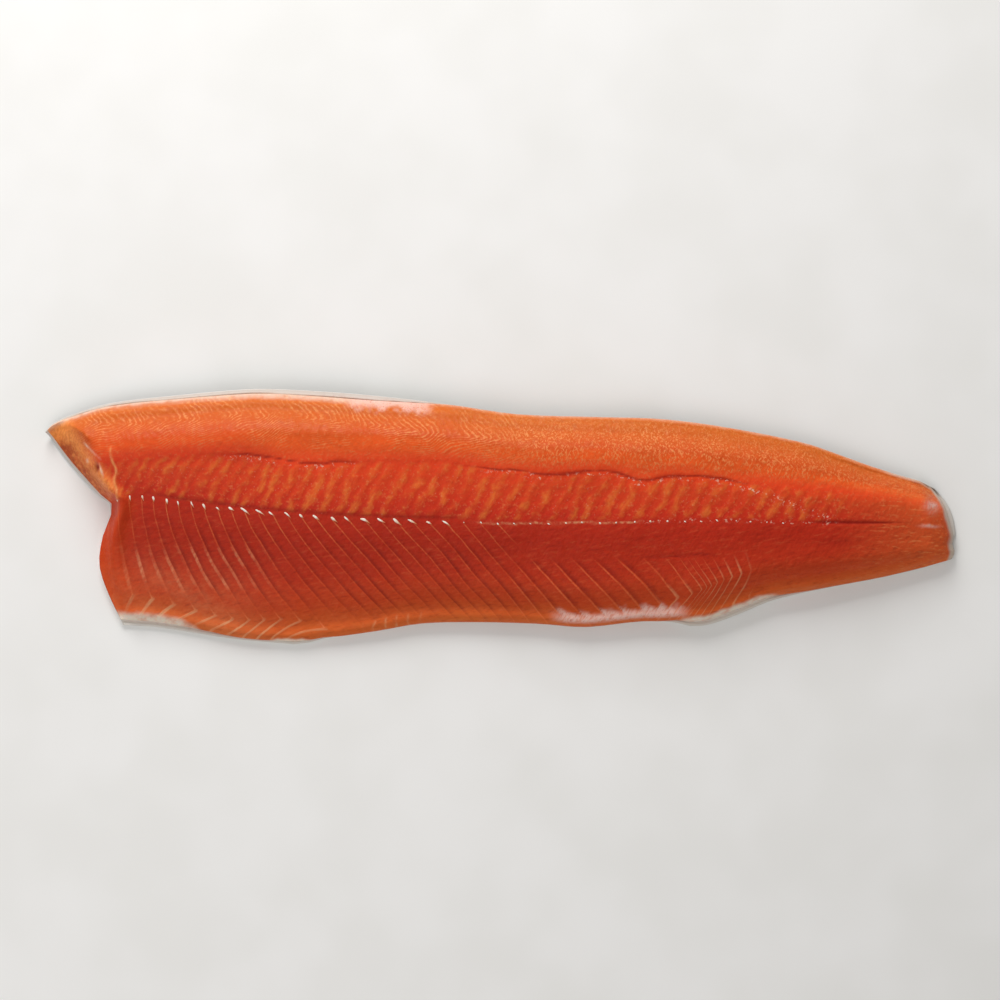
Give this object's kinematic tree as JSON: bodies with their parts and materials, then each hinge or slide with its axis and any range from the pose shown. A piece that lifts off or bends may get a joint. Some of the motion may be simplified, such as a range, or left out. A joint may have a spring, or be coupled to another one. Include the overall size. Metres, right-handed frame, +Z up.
{
  "type": "arctic char fillet",
  "caption": "Long raw char fillet with its skin on, lying skin side down, with a notched head cut and a narrow tail.",
  "frame": {"origin": "on the resting plane, under the middle of the fillet's box", "axes": "+X runs from the head cut to the tail cut, +Y to the back edge, +Z up from the skin to the cut face"},
  "size_m": [0.3452, 0.0967, 0.022],
  "materials": {
    "flesh": "moist raw orange fish flesh",
    "skin": "wet silver fish skin with fine scales"
  },
  "bodies": {
    "root": {"flesh": "flesh", "skin": "skin"}
  },
  "joints": []
}
